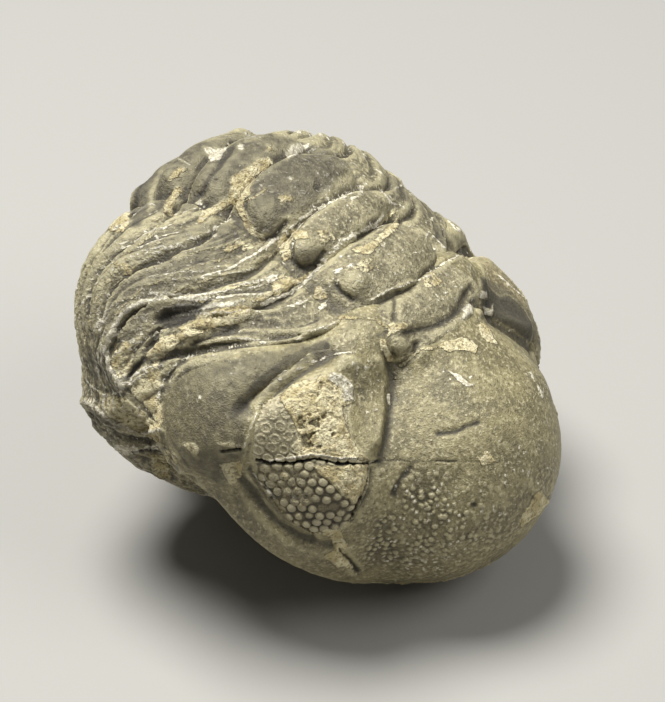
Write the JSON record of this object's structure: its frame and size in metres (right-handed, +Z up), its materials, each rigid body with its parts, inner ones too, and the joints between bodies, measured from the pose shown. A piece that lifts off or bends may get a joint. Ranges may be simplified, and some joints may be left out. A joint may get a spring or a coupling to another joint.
{
  "type": "enrolled trilobite fossil",
  "caption": "Enrolled trilobite fossil in stone: a ribbed body rolled up behind a large domed head with faceted eyes, resting on a small flat spot.",
  "frame": {"origin": "middle of the footprint, on the surface that the fossil rests on", "axes": "+Z up; -Y towards the side that shows the head, the right eye and the rings of the back; +X to the right as seen from there"},
  "size_m": [0.0466, 0.0486, 0.0386],
  "materials": {
    "fossil": "dull worn limestone with crusts of mudstone and calcite"
  },
  "bodies": {
    "root": {"trilobite_fossil": "fossil"}
  },
  "joints": []
}
